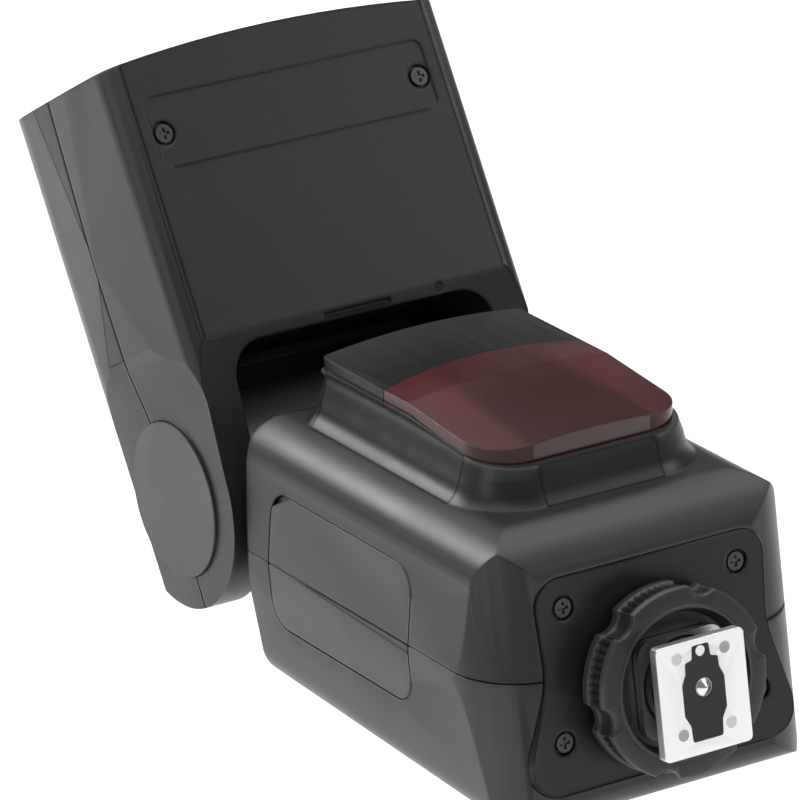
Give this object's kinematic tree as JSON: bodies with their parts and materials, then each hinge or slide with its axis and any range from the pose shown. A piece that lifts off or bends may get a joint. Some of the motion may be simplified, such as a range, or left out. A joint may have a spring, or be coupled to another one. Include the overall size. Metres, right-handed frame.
{
  "type": "speedlight flash",
  "caption": "Hot-shoe camera flash lying on its back, with a swivelling and tilting zoom head, sliding battery, red assist lens and locking foot.",
  "frame": {"origin": "centre of the shoe foot's outer face", "axes": "+Y from the foot along the body to the head, +Z out of the front where the assist lens is, +X to the right seen from the foot"},
  "size_m": [0.076, 0.1841, 0.1124],
  "materials": {
    "body_plastic": "fine-sparkle moulded charcoal",
    "dark_plastic": "plain dark moulding",
    "gloss_black": "polished dark strip",
    "red_lens": "dark red translucent",
    "shoe_metal": "plated steel",
    "contact_metal": "polished contact",
    "screw_black": "black oxide",
    "board_green": "circuit board",
    "cell_can": "cell can",
    "capacitor_sleeve": "sleeved can",
    "clear_plastic": "clear prismatic plastic",
    "white_card": "white card",
    "rubber_dark": "soft cover",
    "display_grey": "display",
    "reflector_metal": "polished reflector",
    "tube_glass": "xenon tube"
  },
  "bodies": {
    "body": {"front_shell": "body_plastic", "rear_shell": "body_plastic", "rear_screws": "screw_black", "foot_base_plate": "body_plastic", "base_screws": "screw_black", "shoe_plate": "shoe_metal", "shoe_rivets": "shoe_metal", "contact_insert": "dark_plastic", "foot_stem": "dark_plastic", "assist_lens": "red_lens", "front_cover_strip": "gloss_black", "assist_lamps": "tube_glass", "battery_bay": "dark_plastic", "bay_contacts": "contact_metal", "main_capacitor": "capacitor_sleeve", "main_board": "board_green", "sync_jack": "dark_plastic", "lcd_panel": "display_grey", "lcd_window": "gloss_black", "control_board": "board_green"},
    "ring": {"lock_ring": "dark_plastic"},
    "pin": {"lock_pin": "contact_metal"},
    "washer": {"pressure_plate": "shoe_metal"},
    "contact": {"center_contact": "contact_metal", "contact_spring": "contact_metal"},
    "battery": {"battery_case": "body_plastic", "battery_cells": "cell_can"},
    "port": {"port_cover": "rubber_dark"},
    "fn1": {"function_button_1": "rubber_dark"},
    "fn2": {"function_button_2": "rubber_dark"},
    "fn3": {"function_button_3": "rubber_dark"},
    "fn4": {"function_button_4": "rubber_dark"},
    "mode": {"mode_button": "rubber_dark"},
    "test": {"test_button": "rubber_dark"},
    "dial": {"select_dial": "dark_plastic"},
    "setb": {"set_button": "rubber_dark"},
    "switch": {"power_switch": "dark_plastic"},
    "neck": {"swivel_base": "body_plastic", "swivel_retainer": "dark_plastic", "neck_block": "body_plastic", "tilt_shafts": "shoe_metal"},
    "head": {"head_lower_shell": "body_plastic", "head_upper_shell": "body_plastic", "hinge_caps": "body_plastic", "head_screws": "screw_black", "sensor_window": "gloss_black", "front_bezel": "dark_plastic", "fresnel_panel": "clear_plastic", "head_board": "board_green", "guide_rod": "shoe_metal", "zoom_motor": "shoe_metal"},
    "wide": {"wide_panel": "clear_plastic"},
    "card": {"bounce_card": "white_card"},
    "carriage": {"zoom_carriage": "dark_plastic", "reflector": "reflector_metal", "xenon_tube": "tube_glass"},
    "leadscrew": {"lead_screw": "shoe_metal"}
  },
  "joints": [
    {"name": "lock_ring_turn", "type": "hinge", "parent": "body", "child": "ring", "pos_m": [0, 0.00907, -0.00018], "axis": [0, 0.99, -0.1409], "range_deg": [0, 75]},
    {"name": "lock_pin_slide", "type": "slide", "parent": "body", "child": "pin", "axis": [0, 0.99, -0.1409], "range_m": [0, 0.0015]},
    {"name": "pressure_plate_slide", "type": "slide", "parent": "body", "child": "washer", "axis": [0, -0.99, 0.1409], "range_m": [0, 0.001]},
    {"name": "center_contact_press", "type": "slide", "parent": "body", "child": "contact", "axis": [0, 0.99, -0.1409], "range_m": [0, 0.0008], "stiffness_N_per_m": 300, "springref_m": -0.0005},
    {"name": "battery_slide", "type": "slide", "parent": "body", "child": "battery", "axis": [-1, 0, 0], "range_m": [0, 0.075]},
    {"name": "port_cover_hinge", "type": "hinge", "parent": "body", "child": "port", "pos_m": [0.03397, 0.0361, 0.0056], "axis": [0, 1, 0], "range_deg": [0, 95]},
    {"name": "function_button_1_press", "type": "slide", "parent": "body", "child": "fn1", "axis": [0, -0.0358, 0.9994], "range_m": [0, 0.0008], "stiffness_N_per_m": 150, "springref_m": -0.001},
    {"name": "function_button_2_press", "type": "slide", "parent": "body", "child": "fn2", "axis": [0, -0.0358, 0.9994], "range_m": [0, 0.0008], "stiffness_N_per_m": 150, "springref_m": -0.001},
    {"name": "function_button_3_press", "type": "slide", "parent": "body", "child": "fn3", "axis": [0, -0.0358, 0.9994], "range_m": [0, 0.0008], "stiffness_N_per_m": 150, "springref_m": -0.001},
    {"name": "function_button_4_press", "type": "slide", "parent": "body", "child": "fn4", "axis": [0, -0.0358, 0.9994], "range_m": [0, 0.0008], "stiffness_N_per_m": 150, "springref_m": -0.001},
    {"name": "mode_button_press", "type": "slide", "parent": "body", "child": "mode", "axis": [0, -0.0358, 0.9994], "range_m": [0, 0.0008], "stiffness_N_per_m": 150, "springref_m": -0.001},
    {"name": "test_button_press", "type": "slide", "parent": "body", "child": "test", "axis": [0, -0.0358, 0.9994], "range_m": [0, 0.0008], "stiffness_N_per_m": 150, "springref_m": -0.001},
    {"name": "select_dial_turn", "type": "hinge", "parent": "body", "child": "dial", "pos_m": [0, 0.03392, -0.0221], "axis": [0, -0.0358, 0.9994], "continuous": true},
    {"name": "set_button_press", "type": "slide", "parent": "body", "child": "setb", "axis": [0, -0.0358, 0.9994], "range_m": [0, 0.0008], "stiffness_N_per_m": 150, "springref_m": -0.001},
    {"name": "power_switch_slide", "type": "slide", "parent": "body", "child": "switch", "axis": [0, 0.9994, 0.0358], "range_m": [0, 0.0035]},
    {"name": "head_swivel", "type": "hinge", "parent": "body", "child": "neck", "pos_m": [0, 0.1018, 0.0059], "axis": [0, 1, 0], "range_deg": [-180, 150]},
    {"name": "head_tilt", "type": "hinge", "parent": "neck", "child": "head", "pos_m": [0, 0.1228, 0.0059], "axis": [-1, 0, 0], "range_deg": [-20.9, 99.1]},
    {"name": "wide_panel_slide", "type": "slide", "parent": "head", "child": "wide", "axis": [0, 0.4848, 0.8746], "range_m": [0, 0.038]},
    {"name": "bounce_card_slide", "type": "slide", "parent": "head", "child": "card", "axis": [0, 0.4848, 0.8746], "range_m": [0, 0.038]},
    {"name": "zoom_slide", "type": "slide", "parent": "head", "child": "carriage", "axis": [0, 0.4848, 0.8746], "range_m": [0, 0.022]},
    {"name": "lead_screw_turn", "type": "hinge", "parent": "head", "child": "leadscrew", "pos_m": [0.0285, 0.1348, 0.05642], "axis": [0, 0.4848, 0.8746], "range_deg": [0, 2000]}
  ],
  "couplings": [
    {"joint": "lock_pin_slide", "follows": "lock_ring_turn", "m_per_rad": 0.0010695},
    {"joint": "pressure_plate_slide", "follows": "lock_ring_turn", "m_per_rad": 0.0006875},
    {"joint": "lead_screw_turn", "follows": "zoom_slide", "rad_per_m": 1570.8}
  ]
}
